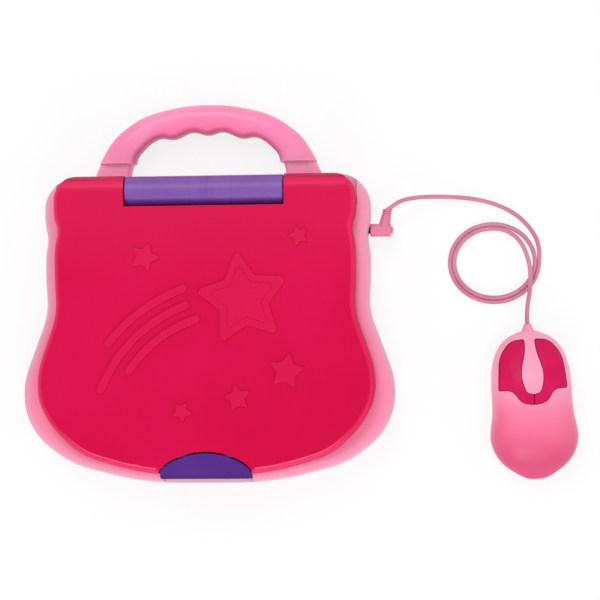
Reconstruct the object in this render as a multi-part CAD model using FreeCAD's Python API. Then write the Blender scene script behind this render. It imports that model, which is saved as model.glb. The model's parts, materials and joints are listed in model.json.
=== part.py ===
import FreeCAD, Part
import math
import os

# Toy laptop computer, closed, with its mouse plugged in. Millimetres, +Z up.
# Origin: middle of the flat underside. +X to the right, +Y towards the carry handle.

# Base case
base_back = 95.0
base_front = -95.0
bulge_half = 115.3
ear_step = 13.9
notch_step = 16.1
waist_step = 14.2
tuck_step = 15.6
ear_radius = 20.0
ear_front = 66.0
notch_y = 57.0
waist_back = 46.0
waist_front = 30.0
tuck_y = 11.0
bulge_back = -31.0
bulge_front = -50.0
seam_z = 13.0
deck_z = 26.0
case_wall = 2.4
tub_round = 8.0
shoulder_round = 8.0
tray_depth = 3.5
tray_inset = 14.0
tray_setback = 17.0
plate_thickness = 2.2
screw_seat_z = 1.2
case_screw_length = 15.5
case_boss_radius = 4.2
boss_bite = 0.5
seam_groove = 0.4

# Lid
lid_ear_margin = 8.6
lid_notch_margin = 9.4
lid_waist_margin = 8.6
lid_tuck_margin = 8.4
lid_bulge_margin = 11.8
lid_front_margin = 6.2
lid_ear_radius = 15.0
lid_ear_front = 69.0
lid_notch_y = 61.5
lid_waist_back = 50.0
lid_waist_front = 30.0
lid_tuck_y = 10.0
lid_bulge_back = -25.0
lid_bulge_front = -43.5
lid_gap = 0.6
lid_wall = 2.2
lid_round = 4.5
bezel_thickness = 2.0
bezel_setback = 13.0
relief_height = 1.2
trail_x = 20.0
trail_y = -70.0
trail_width = 5.0
lid_screw_length = 7.8
lid_post_radius = 3.2

# Hinge
hinge_setback = 0.3
hinge_rise = 2.0
knuckle_radius = 9.7
barrel_radius = 9.2
barrel_half = 48.6
hinge_pin_radius = 2.0
hinge_pin_grip = 17.8
hinge_pin_depth = 18.0
bearing_width = 4.0
bearing_radius = 5.5
trough_gap = 0.5

# Front latch
latch_half = 27.8
latch_depth = 15.6
latch_setback = 4.0
latch_thickness = 4.0
latch_sink = 0.4
lip_thickness = 1.8
lip_inset = 0.6
lip_side_gap = 0.4
lip_reach = 7.0
lip_wall_gap = 0.1
latch_pin_radius = 0.8
latch_pin_inset = 1.9
latch_pin_drop = 1.25
latch_round = 0.9
latch_room = 1.0
latch_flare = 0.6
latch_pin_half = 19.0

# Carry handle
handle_bottom = 1.5
handle_top = 15.0
handle_reach = 45.0
foot_outer = 71.7
foot_inner = 49.0
foot_depth = 8.0
foot_outer_round = 5.0
foot_inner_round = 2.6
grip_bottom = 0.8
grip_top = 18.2
grip_start = 8.6
grip_lip = 3.6
grip_swell = 0.6
grip_reach = 25.2
grip_outer_round = 8.2
grip_inner_round = 5.5
arch_middle = 0.86

# Keys
key_pitch = 14.0
row_pitch = 13.0
key_spacing = 2.4
row_spacing = 2.2
key_round = 2.2
key_top_round = 0.9
button_top_round = 1.2
key_rise = 2.6
key_travel = 1.5
keys_per_row = 10
row_count = 4
first_row_y = 10.0
flange_margin = 1.2
flange_thickness = 1.5
board_thickness = 1.6
mat_thickness = 1.0
dome_height = 0.5
dome_radius = 3.0
mat_margin = 6.5
board_side_margin = 8.0
board_back_margin = 2.2
board_post_inset = 3.0
board_post_radius = 2.5
space_bar_x = -8.4
space_bar_width = 58.0
enter_gap = 9.6
enter_width = 26.0
button_radius = 5.5
activity_count = 4
activity_pitch = 17.0
activity_y = 23.8

# Power switch
switch_x = 62.0
switch_y = 50.0
switch_travel = 6.0
knob_length = 8.0
knob_width = 6.0
knob_rise = 2.0
switch_drop = 1.6
switch_depth = 5.0
switch_half_width = 4.5
switch_ear = 1.8
knob_corner = 1.2

# Speaker and batteries
speaker_x = -62.0
speaker_y = 50.0
speaker_radius = 18.0
speaker_height = 9.0
grille_rings = 4
grille_step = 4.6
grille_hole_radius = 1.2
cell_radius = 7.15
cell_length = 50.5
cell_count = 3
cell_spacing = 0.7
cell_cap_radius = 2.7
cell_cap_length = 1.2
cell_x = -4.0
board_to_cells = 1.0
door_thickness = 2.2
cell_room = 3.0
door_margin = 13.0
contact_thickness = 0.8
contact_seat_radius = 2.4
door_corner = 3.0
door_grip_length = 5.0
door_grip_width = 16.0
door_grip_depth = 0.9
door_grip_inset = 6.0
ledge_width = 2.0
ledge_height = 6.0
door_screw_out = 8.0
door_screw_z = 0.1
door_screw_length = 7.0

# Display
window_width = 96.0
window_height = 56.0
window_y = 4.0
window_corner = 3.0
panel_margin = 5.0
panel_thickness = 3.0
display_board_height = 34.0

# Jack and plug
jack_y = 60.0
jack_radius = 4.6
jack_length = 15.0
jack_recess = 1.0
jack_cradle_length = 10.0
jack_cradle_half = 7.0
pin_radius = 1.75
pin_length = 14.0
plug_radius = 4.0
plug_length = 12.8
plug_gap = 1.7
plug_nub_radius = 2.1
plug_nub_length = 1.4
arm_out = 8.3
arm_lean = 2.4
arm_reach = 12.6
arm_root_radius = 3.9
arm_tip_radius = 2.9
arm_rib = 0.9
arm_groove = 0.7
groove_depth = 0.45
nozzle_x = 2.0
nozzle_y = 1.1
nozzle_radius = 2.0

# Mouse, in its own frame: nose along +Y
mouse_x = 199.4
mouse_y = -48.5
mouse_turn = 2.8
mouse_split_z = 9.0
mouse_floor_z = 1.0
mouse_wall = 2.2
mouse_post_radius = 3.0
board_rest_radius = 2.0
board_edge = 3.0
mouse_button_travel = 1.2
grommet_length = 4.5
grommet_radius = 4.0
grommet_z = 7.0
pad_thickness = 1.0
pad_y = 22.0
pad_width = 22.0
pad_depth = 5.0
crown_power = 0.78
mouse_nose = 45.4
mouse_split_half = 0.25
mouse_screw_y = (-34.0, 34.0)
mouse_screw_z = 1.2
mouse_screw_length = 11.0
mouse_board_z = 5.4
board_rest_x = 12.0
board_rest_y = 22.0
mouse_switch_x = 11.0
mouse_switch_y = 21.0
mouse_switch_height = 4.4
# Stations from nose to tail: along, half width, crown height
mouse_stations = (
    (mouse_nose, 5.1, 11.5),
    (43.0, 10.6, 14.0),
    (38.6, 16.6, 17.4),
    (32.2, 20.7, 21.6),
    (23.4, 23.4, 26.0),
    (7.8, 24.4, 30.0),
    (-7.8, 25.1, 31.0),
    (-19.0, 26.7, 30.0),
    (-28.3, 24.8, 27.0),
    (-35.6, 20.1, 22.4),
    (-41.0, 13.4, 17.4),
    (-44.2, 8.0, 14.0),
    (-mouse_nose, 4.4, 12.0),
)

# Cord
cord_radius = 1.35
cord_floor = 1.4
coil_x = 176.9
coil_y = 39.9
coil_half_x = 28.4
coil_half_y = 25.7
coil_pitch = 2.8
coil_draw = 0.4
coil_turns = 1.75

# Clearances
part_gap = 0.3
key_gap = 0.4
running_gap = 0.08
seat_gap = 0.15
screw_radius = 1.4
screw_head_radius = 2.8
screw_head_height = 1.4
arc_share = 0.48
over = 1.0
beyond = 200.0
above_all = 60.0

# Worked out from the sizes above
ear_half = bulge_half - ear_step
notch_half = bulge_half - notch_step
waist_half = bulge_half - waist_step
tuck_half = bulge_half - tuck_step
lid_ear_half = ear_half - lid_ear_margin
lid_notch_half = notch_half - lid_notch_margin
lid_waist_half = waist_half - lid_waist_margin
lid_tuck_half = tuck_half - lid_tuck_margin
lid_bulge_half = bulge_half - lid_bulge_margin
lid_front = base_front + lid_front_margin
hinge_y = base_back - hinge_setback - knuckle_radius
hinge_z = deck_z + hinge_rise
hinge_pin_reach = barrel_half + hinge_pin_grip
tray_back = hinge_y - tray_setback
bezel_back = hinge_y - bezel_setback
latch_front = base_front + latch_setback
latch_back = latch_front + latch_depth
lip_bottom = deck_z - lip_reach
lip_half = latch_half - lip_inset
handle_peak = base_back + handle_reach
foot_end = base_back - foot_depth
grip_y = base_back + grip_reach
grip_end = base_back + grip_start
key_width = key_pitch - key_spacing
key_depth = row_pitch - row_spacing
board_back = activity_y + button_radius + board_back_margin
cell_pitch = 2.0 * cell_radius + cell_spacing
cell_y = board_back + board_to_cells + cell_count * cell_pitch / 2.0
plate_z = deck_z - tray_depth
plate_under = plate_z - plate_thickness
lid_bottom = deck_z + lid_gap
lid_top = hinge_z + knuckle_radius
lid_back = hinge_y + knuckle_radius
lid_roof = lid_top - lid_wall
trough_radius = knuckle_radius + trough_gap
trough_floor = hinge_z - trough_radius
lid_reach = lid_ear_half + trough_gap
flange_top = plate_under - part_gap
flange_bottom = flange_top - flange_thickness
board_top = flange_bottom - key_travel - part_gap - dome_height - mat_thickness
board_bottom = board_top - board_thickness
latch_top = lid_top - latch_sink
latch_bottom = latch_top - latch_thickness
latch_pin_y = latch_back - latch_pin_inset
latch_pin_z = latch_top - latch_pin_drop
bezel_top = lid_bottom + bezel_thickness
lid_screw_z = lid_bottom + 0.1
lid_notch_x = barrel_half + 2.0 * part_gap
notch_front = hinge_y - barrel_radius - 2.0 * part_gap
cell_z = door_thickness + part_gap + cell_radius
door_screw_x = cell_x + cell_length / 2.0 + door_screw_out
jack_face = notch_half - jack_recess
jack_inner = jack_face - jack_length
plug_x = notch_half + plug_gap
arm_x = plug_x + arm_out
arm_root = FreeCAD.Vector(arm_x, jack_y, seam_z)
arm_run = FreeCAD.Vector(arm_lean, arm_reach, 0)
nozzle_root = arm_root + arm_run * (1.0 - arm_rib / arm_run.Length)
plug_tip = arm_root + arm_run + FreeCAD.Vector(nozzle_x, nozzle_y, 0)
nozzle_run = plug_tip - nozzle_root
switch_top = mouse_board_z + board_thickness + mouse_switch_height
spin = FreeCAD.Rotation(FreeCAD.Vector(0, 0, 1), mouse_turn)
mouse_place = FreeCAD.Placement(FreeCAD.Vector(mouse_x, mouse_y, 0), spin)


def vec(x, y, z=0.0):
    return FreeCAD.Vector(x, y, z)


def box(x0, x1, y0, y1, z0, z1):
    return Part.makeBox(x1 - x0, y1 - y0, z1 - z0, vec(x0, y0, z0))


def rod_x(radius, x0, x1, y, z):
    return Part.makeCylinder(radius, x1 - x0, vec(x0, y, z), vec(1, 0, 0))


def rod_z(radius, z0, z1, x, y):
    return Part.makeCylinder(radius, z1 - z0, vec(x, y, z0))


def both_sides(shape):
    mirror = shape.mirror(vec(0, 0, 0), vec(1, 0, 0))
    return [shape, mirror]


def rounded_wire(corners, z):
    # Closed outline of straight runs with an arc at each corner. A corner without a radius
    # takes the widest arc that its shorter run leaves room for.
    starts = []
    ends = []
    middles = []
    radii = []
    count = len(corners)
    for index in range(count):
        x, y, radius = corners[index]
        corner = vec(x, y, z)
        before = vec(corners[index - 1][0], corners[index - 1][1], z) - corner
        after_corner = corners[(index + 1) % count]
        after = vec(after_corner[0], after_corner[1], z) - corner
        room = arc_share * min(before.Length, after.Length)
        before.normalize()
        after.normalize()
        half = before.getAngle(after) / 2.0
        if radius is None:
            radius = room * math.tan(half)
        reach = radius / math.tan(half)
        bisector = before + after
        bisector.normalize()
        starts.append(corner + before * reach)
        ends.append(corner + after * reach)
        middles.append(corner + bisector * (radius / math.sin(half) - radius))
        radii.append(radius)
    edges = []
    for index in range(count):
        if radii[index] > 0:
            edges.append(Part.Arc(starts[index], middles[index], ends[index]).toShape())
        edges.append(Part.LineSegment(ends[index], starts[(index + 1) % count]).toShape())
    return Part.Wire(edges)


def mirrored(right_half):
    left_half = [(-x, y, radius) for x, y, radius in reversed(right_half)]
    return right_half + left_half


def slab(wire, z0, z1):
    face = Part.Face(wire)
    face.translate(vec(0, 0, z0 - wire.BoundBox.ZMin))
    return face.extrude(vec(0, 0, z1 - z0))


def inset(wire, distance):
    return wire.makeOffset2D(-distance)


def edges_at(shape, z):
    flat = []
    for edge in shape.Edges:
        bounds = edge.BoundBox
        if abs(bounds.ZMin - z) < 1e-4 and abs(bounds.ZMax - z) < 1e-4:
            flat.append(edge)
    return flat


def rounded_slab(wire, z0, z1, radius, z_round):
    solid = slab(wire, z0, z1)
    return solid.makeFillet(radius, edges_at(solid, z_round))


def rounded_box(x, y, width, depth, radius, z0, z1):
    left = x - width / 2.0
    right = x + width / 2.0
    front = y - depth / 2.0
    back = y + depth / 2.0
    corners = [
        (right, back, radius),
        (right, front, radius),
        (left, front, radius),
        (left, back, radius),
    ]
    return slab(rounded_wire(corners, 0.0), z0, z1)


def fuse_all(shapes):
    return shapes[0].multiFuse(shapes[1:]).removeSplitter()


def cut_all(shape, tools):
    return shape.cut(tools[0].multiFuse(tools[1:]) if len(tools) > 1 else tools[0])


def save(name, shape):
    if not shape.isValid():
        print("not valid:", name)
    print(name, "solids", len(shape.Solids), "volume", round(shape.Volume, 1))
    shape.exportStep("parts/" + name + ".step")


def save_group(name, shapes):
    save(name, Part.makeCompound(shapes))


# Outlines of the case and the lid: ears at the back, a waist, and a wide round front
def case_outline():
    right = [
        (ear_half, base_back, ear_radius),
        (ear_half, ear_front, None),
        (notch_half, notch_y, None),
        (waist_half, waist_back, None),
        (waist_half, waist_front, None),
        (tuck_half, tuck_y, None),
        (bulge_half, bulge_back, None),
        (bulge_half, bulge_front, None),
        (bulge_half - 8.6, base_front + 28.0, None),
        (bulge_half - 29.4, base_front + 11.8, None),
        (bulge_half - 75.3, base_front, None),
    ]
    return rounded_wire(mirrored(right), 0.0)


def lid_outline():
    right = [
        (lid_ear_half, lid_back, lid_ear_radius),
        (lid_ear_half, lid_ear_front, None),
        (lid_notch_half, lid_notch_y, None),
        (lid_waist_half, lid_waist_back, None),
        (lid_waist_half, lid_waist_front, None),
        (lid_tuck_half, lid_tuck_y, None),
        (lid_bulge_half, lid_bulge_back, None),
        (lid_bulge_half, lid_bulge_front, None),
        (lid_bulge_half - 9.3, lid_front + 28.3, None),
        (lid_bulge_half - 26.8, lid_front + 11.8, None),
        (lid_bulge_half - 67.5, lid_front, None),
    ]
    return rounded_wire(mirrored(right), 0.0)


def latch_outline():
    # Half moon: a round back edge, short sides and a straight front
    right = [
        (7.6, latch_back, None),
        (21.7, latch_back - 5.3, None),
        (latch_half, latch_back - 10.7, 2.0),
        (latch_half, latch_front, 1.5),
    ]
    return rounded_wire(mirrored(right), 0.0)


case_wire = case_outline()
lid_wire = lid_outline()
latch_wire = latch_outline()


def screw(x, y, z_head, length):
    head = rod_z(screw_head_radius, z_head, z_head + screw_head_height, x, y)
    shank = rod_z(screw_radius, z_head + screw_head_height, z_head + length, x, y)
    return head.fuse(shank).removeSplitter()


def screw_hole(x, y, z_open, z_head, length):
    # Counterbore from z_open down to the head's seat, then the thread bore
    wide = screw_head_radius + part_gap
    seat = z_head + screw_head_height
    counterbore = rod_z(wide, z_open, seat, x, y)
    bore = rod_z(screw_radius + running_gap, seat, z_head + length + over, x, y)
    return counterbore.fuse(bore)


# Places of the case screws, from the outline's own sizes
def case_screw_places():
    right = [
        (waist_half - 9.5, 18.0),
        (bulge_half - 14.0, -40.0),
        (46.0, base_front + 13.0),
    ]
    return right + [(-x, y) for x, y in right]


def foot_socket():
    gap = part_gap / 2.0
    right = box(foot_inner - gap, foot_outer + gap, foot_end - gap, base_back + over,
                handle_bottom - gap, handle_top + gap)
    return both_sides(right)


def jack_bore():
    return rod_x(jack_radius + seat_gap, jack_inner - part_gap, ear_half + over, jack_y, seam_z)


def door_outline(grow):
    width = cell_length + 2.0 * door_margin + 2.0 * grow
    depth = cell_count * cell_pitch + 3.0 + 2.0 * grow
    return width, depth


def base_tub():
    outer = rounded_slab(case_wire, 0.0, seam_z, tub_round, 0.0)
    outer = outer.makeChamfer(seam_groove, edges_at(outer, seam_z))
    inner_wire = inset(case_wire, case_wall)
    cavity = rounded_slab(inner_wire, case_wall, seam_z, tub_round - case_wall, case_wall)
    tub = outer.cut(cavity)
    bosses = []
    holes = foot_socket() + [jack_bore()]
    for x, y in case_screw_places():
        bosses.append(rod_z(case_boss_radius, case_wall / 2.0, seam_z, x, y))
        holes.append(screw_hole(x, y, -over, screw_seat_z, case_screw_length))
    width, depth = door_outline(part_gap / 2.0)
    holes.append(rounded_box(cell_x, cell_y, width, depth, door_corner, -over, case_wall + over))
    # Ledge that the battery door rests against, and walls beside the cells
    frame = rounded_box(cell_x, cell_y, width + 2.0 * ledge_width, depth + 2.0 * ledge_width,
                        door_corner + over, door_thickness, case_wall + ledge_height)
    frame = frame.cut(box(cell_x - cell_length / 2.0 - cell_room, cell_x + cell_length / 2.0 + cell_room,
                          cell_y - cell_count * cell_pitch / 2.0, cell_y + cell_count * cell_pitch / 2.0,
                          0.0, seam_z))
    frame = frame.cut(screw_hole(door_screw_x, cell_y, -over, door_screw_z, door_screw_length))
    tub = cut_all(fuse_all([tub] + bosses), holes)
    # Cradle for the jack
    cradle = box(jack_inner, jack_inner + jack_cradle_length, jack_y - jack_cradle_half,
                 jack_y + jack_cradle_half, case_wall / 2.0, seam_z)
    cradle = cradle.cut(jack_bore())
    return fuse_all([tub, frame, cradle])


def trough():
    # Round trough for the lid's knuckles, and the snug cradle for the barrel cover
    outer = rod_x(trough_radius, barrel_half + part_gap, lid_reach, hinge_y, hinge_z)
    behind = box(barrel_half + part_gap, lid_reach, hinge_y, base_back + over, trough_floor, above_all)
    cradle = rod_x(barrel_radius + seat_gap, -barrel_half - part_gap, barrel_half + part_gap,
                   hinge_y, hinge_z)
    cradle_back = box(-barrel_half - part_gap, barrel_half + part_gap, hinge_y, base_back + over,
                      hinge_z - barrel_radius - seat_gap, above_all)
    return both_sides(outer) + both_sides(behind) + [cradle, cradle_back]


def trough_skin():
    # The trough with a wall's thickness added, kept out of the deck's hollow
    radius = trough_radius + plate_thickness
    whole = rod_x(radius, -lid_reach - plate_thickness, lid_reach + plate_thickness, hinge_y, hinge_z)
    behind = box(-lid_reach - plate_thickness, lid_reach + plate_thickness, hinge_y, base_back + over,
                 hinge_z - radius, deck_z)
    return whole.fuse(behind)


def key_places():
    # Each entry: name, list of (x, y, width) on one carrier
    places = []
    for row in range(row_count):
        y = first_row_y - row * row_pitch
        caps = []
        for column in range(keys_per_row):
            x = (column - (keys_per_row - 1) / 2.0) * key_pitch
            caps.append((x, y, key_width))
        places.append(("key_row_" + str(row + 1), caps))
    low_y = first_row_y - row_count * row_pitch
    enter_x = space_bar_x - space_bar_width / 2.0 - enter_gap - enter_width / 2.0
    places.append(("enter_key", [(enter_x, low_y, enter_width)]))
    places.append(("space_bar", [(space_bar_x, low_y, space_bar_width)]))
    arrow_x = 3.4 * key_pitch
    places.append(("arrow_key_up", [(arrow_x, low_y, key_width)]))
    for offset, name in ((-1, "left"), (0, "down"), (1, "right")):
        x = arrow_x + offset * (key_pitch + 1.0)
        places.append(("arrow_key_" + name, [(x, low_y - row_pitch - 1.0, key_width)]))
    return places


def activity_places():
    places = []
    for index in range(activity_count):
        x = (index - (activity_count - 1) / 2.0) * activity_pitch
        places.append(("activity_button_" + str(index + 1), x))
    return places


def key_cap(x, y, width):
    cap = rounded_box(x, y, width, key_depth, key_round, flange_bottom, plate_z + key_rise)
    return cap.makeFillet(key_top_round, edges_at(cap, plate_z + key_rise))


def key_piece(caps):
    # Caps on one carrier strip, which is wider than the openings and keeps them in
    left = min(x - width / 2.0 for x, y, width in caps) - flange_margin
    right = max(x + width / 2.0 for x, y, width in caps) + flange_margin
    y = caps[0][1]
    depth = key_depth + 2.0 * (flange_margin - part_gap)
    strip = box(left, right, y - depth / 2.0, y + depth / 2.0, flange_bottom, flange_top)
    return fuse_all([strip] + [key_cap(x, y, width) for x, y, width in caps])


def activity_piece(x):
    cap = rod_z(button_radius, flange_bottom, plate_z + key_rise, x, activity_y)
    cap = cap.makeFillet(button_top_round, edges_at(cap, plate_z + key_rise))
    flange = rod_z(button_radius + flange_margin, flange_bottom, flange_top, x, activity_y)
    return cap.fuse(flange).removeSplitter()


def board_limits():
    half = key_pitch * keys_per_row / 2.0 + board_side_margin
    front = first_row_y - (row_count + 1.6) * row_pitch - key_depth / 2.0
    return half, board_back, front


def board_post_places():
    half, back, front = board_limits()
    x = half - board_post_inset
    rows = (back - board_post_inset, front + board_post_inset)
    return [(side * x, y) for side in (-1.0, 1.0) for y in rows]


def grille_holes():
    holes = []
    for ring in range(grille_rings):
        count = max(1, 6 * ring)
        for index in range(count):
            angle = 2.0 * math.pi * index / count
            x = speaker_x + ring * grille_step * math.cos(angle)
            y = speaker_y + ring * grille_step * math.sin(angle)
            holes.append(rod_z(grille_hole_radius, plate_under - over, plate_z + over, x, y))
    return holes


def keyboard_deck():
    outer = rounded_slab(case_wire, seam_z, deck_z, shoulder_round, deck_z)
    outer = outer.makeChamfer(seam_groove, edges_at(outer, seam_z))
    hollow = slab(inset(case_wire, case_wall), seam_z, plate_under).cut(trough_skin())
    tray = slab(inset(case_wire, tray_inset), plate_z, deck_z + over)
    tray = tray.common(box(-beyond, beyond, -beyond, tray_back, 0.0, above_all))
    # Room for the latch's lip in front
    lip_wall = lid_front - lip_wall_gap
    lip_room = box(-lip_half - lip_side_gap, lip_half + lip_side_gap, base_front - over, lip_wall,
                   lip_bottom - over, deck_z + over)
    deck = cut_all(outer, [hollow, tray, lip_room] + trough() + foot_socket())
    bosses = []
    holes = [jack_bore()]
    for x, y in case_screw_places():
        bosses.append(rod_z(case_boss_radius, seam_z, plate_under + boss_bite, x, y))
        holes.append(screw_hole(x, y, -over, screw_seat_z, case_screw_length))
    for x, y in board_post_places():
        bosses.append(rod_z(board_post_radius, board_top, plate_under + boss_bite, x, y))
    openings = []
    for name, caps in key_places():
        for x, y, width in caps:
            opening = rounded_box(x, y, width + 2 * key_gap, key_depth + 2 * key_gap,
                                  key_round + key_gap, plate_under - over, plate_z + over)
            openings.append(opening)
    for name, x in activity_places():
        openings.append(rod_z(button_radius + key_gap, plate_under - over, plate_z + over, x, activity_y))
    slot = rounded_box(switch_x, switch_y, knob_length + switch_travel + 2 * key_gap,
                       knob_width + 2 * key_gap, knob_corner + key_gap, plate_under - over, plate_z + over)
    openings.append(slot)
    deck = fuse_all([deck] + bosses)
    return cut_all(deck, holes + openings + grille_holes())


def arch_edges(solid, z0, z1, inner):
    # Top and bottom edges of the arch, either round the finger gap or round the outside
    picked = []
    for edge in edges_at(solid, z0) + edges_at(solid, z1):
        middle = edge.valueAt((edge.FirstParameter + edge.LastParameter) / 2.0)
        if middle.y < foot_end + 0.01:
            continue
        outside = math.hypot(middle.x / foot_outer, (middle.y - foot_end) / (handle_peak - foot_end))
        if (outside < arch_middle) == inner:
            picked.append(edge)
    return picked


def arch(outer_x, inner_foot, z0, z1, inner_round, outer_round):
    outer = [
        (14.0, handle_peak, None),
        (41.0, handle_peak - 6.6, None),
        (58.6, handle_peak - 19.6, None),
        (outer_x - 5.7, handle_peak - 32.6, None),
        (outer_x, base_back, None),
        (outer_x, foot_end, 0.0),
    ]
    # Finger recesses with the ridges between them
    fingers = [
        (43.8, grip_y - 11.0, None),
        (36.6, grip_y - 3.6, None),
        (29.5, grip_y, None),
        (21.5, grip_y - 2.0, None),
        (9.2, grip_y + 3.8, None),
    ]
    right = outer + inner_foot + fingers
    left = [(-x, y, radius) for x, y, radius in reversed(right)]
    corners = right + [(0.0, grip_y, None)] + left
    solid = slab(rounded_wire(corners, 0.0), z0, z1)
    solid = solid.makeFillet(inner_round, arch_edges(solid, z0, z1, True))
    return solid.makeFillet(outer_round, arch_edges(solid, z0, z1, False))


def carry_handle():
    # Slim feet that stand in the case, and a fuller grip that starts with a small lip
    lip_x = foot_inner - grip_lip
    grip_foot = [(lip_x, foot_end, 0.0), (lip_x, grip_end + 1.4, None)]
    slim_foot = [(foot_inner, foot_end, 0.0), (foot_inner, base_back + 3.6, None),
                 (foot_inner - grip_lip / 2.0, grip_end + 0.6, None)]
    grip = arch(foot_outer + grip_swell, grip_foot, grip_bottom, grip_top, grip_inner_round,
                grip_outer_round)
    feet = arch(foot_outer, slim_foot, handle_bottom, handle_top, foot_inner_round, foot_outer_round)
    grip = grip.common(box(-beyond, beyond, grip_end, beyond, 0.0, above_all))
    feet = feet.common(box(-beyond, beyond, foot_end - over, grip_end, 0.0, above_all))
    return fuse_all([grip] + feet.Solids)


def hinge_barrel_cover():
    barrel = rod_x(barrel_radius, -barrel_half, barrel_half, hinge_y, hinge_z)
    barrel = barrel.makeFillet(0.8, barrel.Edges[0:1] + barrel.Edges[2:3])
    bore = rod_x(hinge_pin_radius + running_gap, barrel_half - hinge_pin_depth - running_gap,
                 barrel_half + over, hinge_y, hinge_z)
    return cut_all(barrel, both_sides(bore))


def hinge_pins():
    pin = rod_x(hinge_pin_radius, barrel_half - hinge_pin_depth, hinge_pin_reach, hinge_y, hinge_z)
    return both_sides(pin)


def main_circuit_board():
    half, back, front = board_limits()
    board = box(-half, half, front, back, board_bottom, board_top)
    chip = box(-9.0, 9.0, front + 12.0, front + 30.0, board_bottom - 1.4, board_bottom)
    return board.fuse(chip).removeSplitter()


def rubber_dome_mat():
    half, back, front = board_limits()
    mat = box(-half + mat_margin, half - mat_margin, front + mat_margin, back - mat_margin, board_top,
              board_top + mat_thickness)
    domes = []
    for name, caps in key_places():
        for x, y, width in caps:
            domes.append(rod_z(dome_radius, board_top, board_top + mat_thickness + dome_height, x, y))
    for name, x in activity_places():
        domes.append(rod_z(dome_radius, board_top, board_top + mat_thickness + dome_height, x, activity_y))
    return fuse_all([mat] + domes)


def speaker():
    rim = rod_z(speaker_radius, plate_under - 2.0, plate_under, speaker_x, speaker_y)
    basket = Part.makeCone(speaker_radius * 0.55, speaker_radius - 1.0, speaker_height - 4.0,
                           vec(speaker_x, speaker_y, plate_under - speaker_height + 2.0))
    magnet = rod_z(speaker_radius * 0.5, plate_under - speaker_height, plate_under - speaker_height + 2.5,
                   speaker_x, speaker_y)
    return fuse_all([rim, basket, magnet])


def cell_rows():
    return [cell_y + (index - (cell_count - 1) / 2.0) * cell_pitch for index in range(cell_count)]


def battery_cells():
    cells = []
    for y in cell_rows():
        end = cell_x + cell_length / 2.0
        body = rod_x(cell_radius, cell_x - cell_length / 2.0, end - cell_cap_length, y, cell_z)
        cap = rod_x(cell_cap_radius, end - cell_cap_length, end, y, cell_z)
        cells.append(body.fuse(cap).removeSplitter())
    return cells


def battery_contacts():
    # A strip at each end of the cells, with a raised seat for every cell
    contacts = []
    reach = cell_length / 2.0 + cell_room
    half_depth = cell_count * cell_pitch / 2.0 - 1.0
    for side in (-1.0, 1.0):
        x_wall = cell_x + side * reach
        x_face = x_wall - side * contact_thickness
        x_cell = cell_x + side * (cell_length / 2.0 + seat_gap)
        strip = box(min(x_wall, x_face), max(x_wall, x_face), cell_y - half_depth, cell_y + half_depth,
                    door_thickness + part_gap, cell_z + 4.0)
        seats = []
        for y in cell_rows():
            seats.append(rod_x(contact_seat_radius, min(x_face, x_cell), max(x_face, x_cell), y, cell_z))
        contacts.append(fuse_all([strip] + seats))
    return contacts


def battery_door():
    width, depth = door_outline(0.0)
    door = rounded_box(cell_x, cell_y, width, depth, door_corner, 0.0, door_thickness)
    grip_x = cell_x - width / 2.0 + door_grip_inset
    grip = rounded_box(grip_x, cell_y, door_grip_length, door_grip_width, 2.0, -over, door_grip_depth)
    hole = screw_hole(door_screw_x, cell_y, -over, door_screw_z, door_screw_length)
    return cut_all(door, [grip, hole])


def power_switch_body():
    half = (knob_length + switch_travel) / 2.0 + switch_ear + key_gap
    front = switch_y - switch_half_width
    back = switch_y + switch_half_width
    top = plate_under - switch_drop
    block = box(switch_x - half, switch_x + half, front, back, top - switch_depth, top)
    ears = []
    for side in (-1.0, 1.0):
        x = switch_x + side * (half - switch_ear / 2.0)
        ears.append(box(x - switch_ear / 2.0, x + switch_ear / 2.0, front, back, top, plate_under))
    return fuse_all([block] + ears)


def power_switch_knob():
    x = switch_x - switch_travel / 2.0
    top = plate_z + knob_rise
    knob = rounded_box(x, switch_y, knob_length, knob_width, knob_corner,
                       plate_under - switch_drop + part_gap, top)
    knob = knob.makeFillet(0.6, edges_at(knob, top))
    half_groove = 0.4
    grooves = []
    for step in (-2.0, 0.0, 2.0):
        grooves.append(box(x + step - half_groove, x + step + half_groove, switch_y - knob_width,
                           switch_y + knob_width, top - 0.6, top + over))
    return cut_all(knob, grooves)


def mouse_jack():
    jack = rod_x(jack_radius, jack_inner, jack_face, jack_y, seam_z)
    bore = rod_x(pin_radius + running_gap, plug_x - pin_length - part_gap, jack_face + over, jack_y, seam_z)
    return jack.cut(bore)


def behind_axis(radius):
    # Everything in front of the hinge axis, and only a round of this radius behind it
    front = box(-beyond, beyond, -beyond, hinge_y, 0.0, above_all)
    return front.fuse(rod_x(radius, -beyond, beyond, hinge_y, hinge_z))


def lid_screw_places():
    right = [
        (lid_ear_half - 10.0, bezel_back - 8.0),
        (lid_waist_half - 8.0, 14.0),
        (lid_bulge_half - 12.0, -38.0),
    ]
    return right + [(-x, y) for x, y in right]


def star(x, y, reach, turn):
    corners = []
    for index in range(10):
        angle = math.radians(turn) + index * math.pi / 5.0
        far = index % 2 == 0
        radius = reach if far else reach * 0.52
        corners.append((x + radius * math.cos(angle), y + radius * math.sin(angle), reach * 0.09))
    return slab(rounded_wire(corners, 0.0), lid_roof, lid_top + relief_height)


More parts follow.
